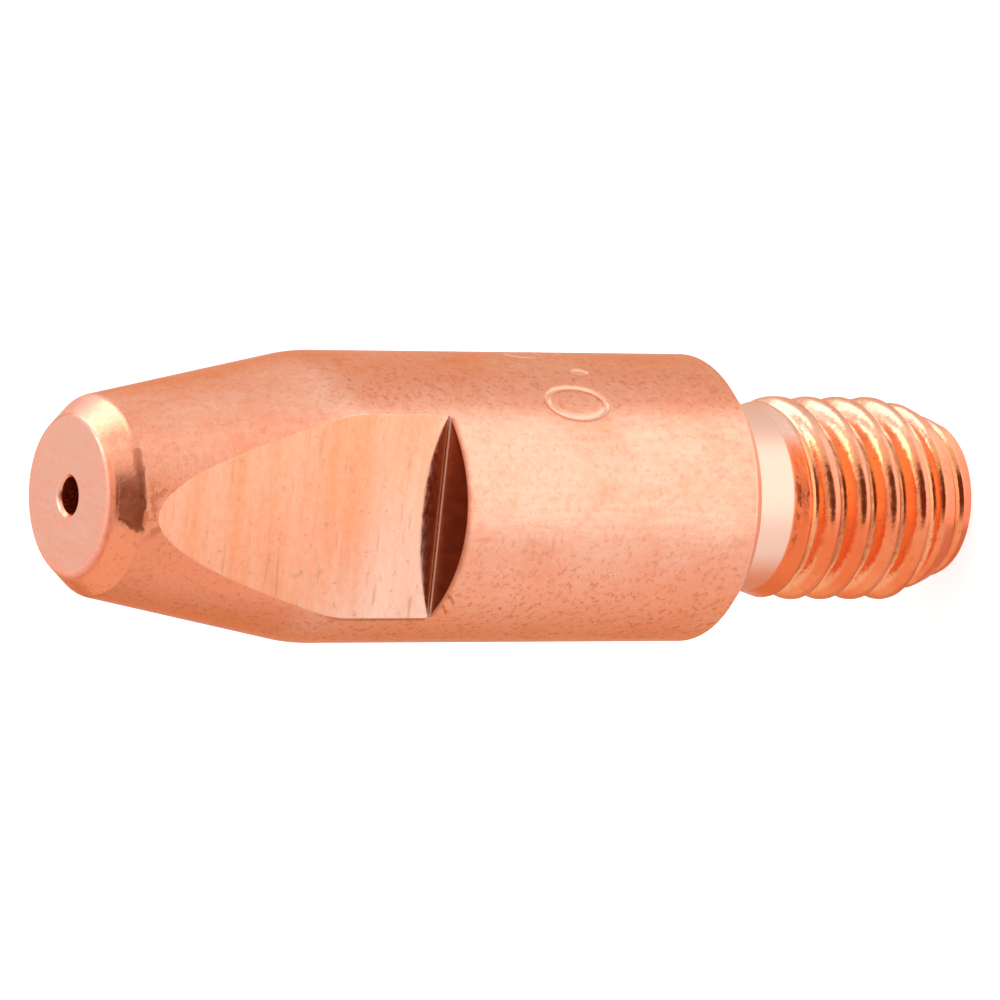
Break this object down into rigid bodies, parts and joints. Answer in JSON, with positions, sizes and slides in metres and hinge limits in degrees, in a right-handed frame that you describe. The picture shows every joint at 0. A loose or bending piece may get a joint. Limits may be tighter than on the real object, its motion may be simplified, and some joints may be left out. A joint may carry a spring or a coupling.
{
  "type": "welding contact tip",
  "caption": "Turned copper welding contact tip with a tapered nose, wire bore, spanner flats and a threaded stud that screws into the torch's tip holder",
  "frame": {"origin": "middle of the stud's end face, on which the tip stands", "axes": "+Z is the tip's axis, from the threaded end to the nose; the spanner flats face -Y and +Y"},
  "size_m": [0.008, 0.008, 0.028],
  "materials": {
    "copper": "bright turned copper, faintly mottled, milled on the flats"
  },
  "bodies": {
    "root": {"contact_tip": "copper"}
  },
  "joints": []
}
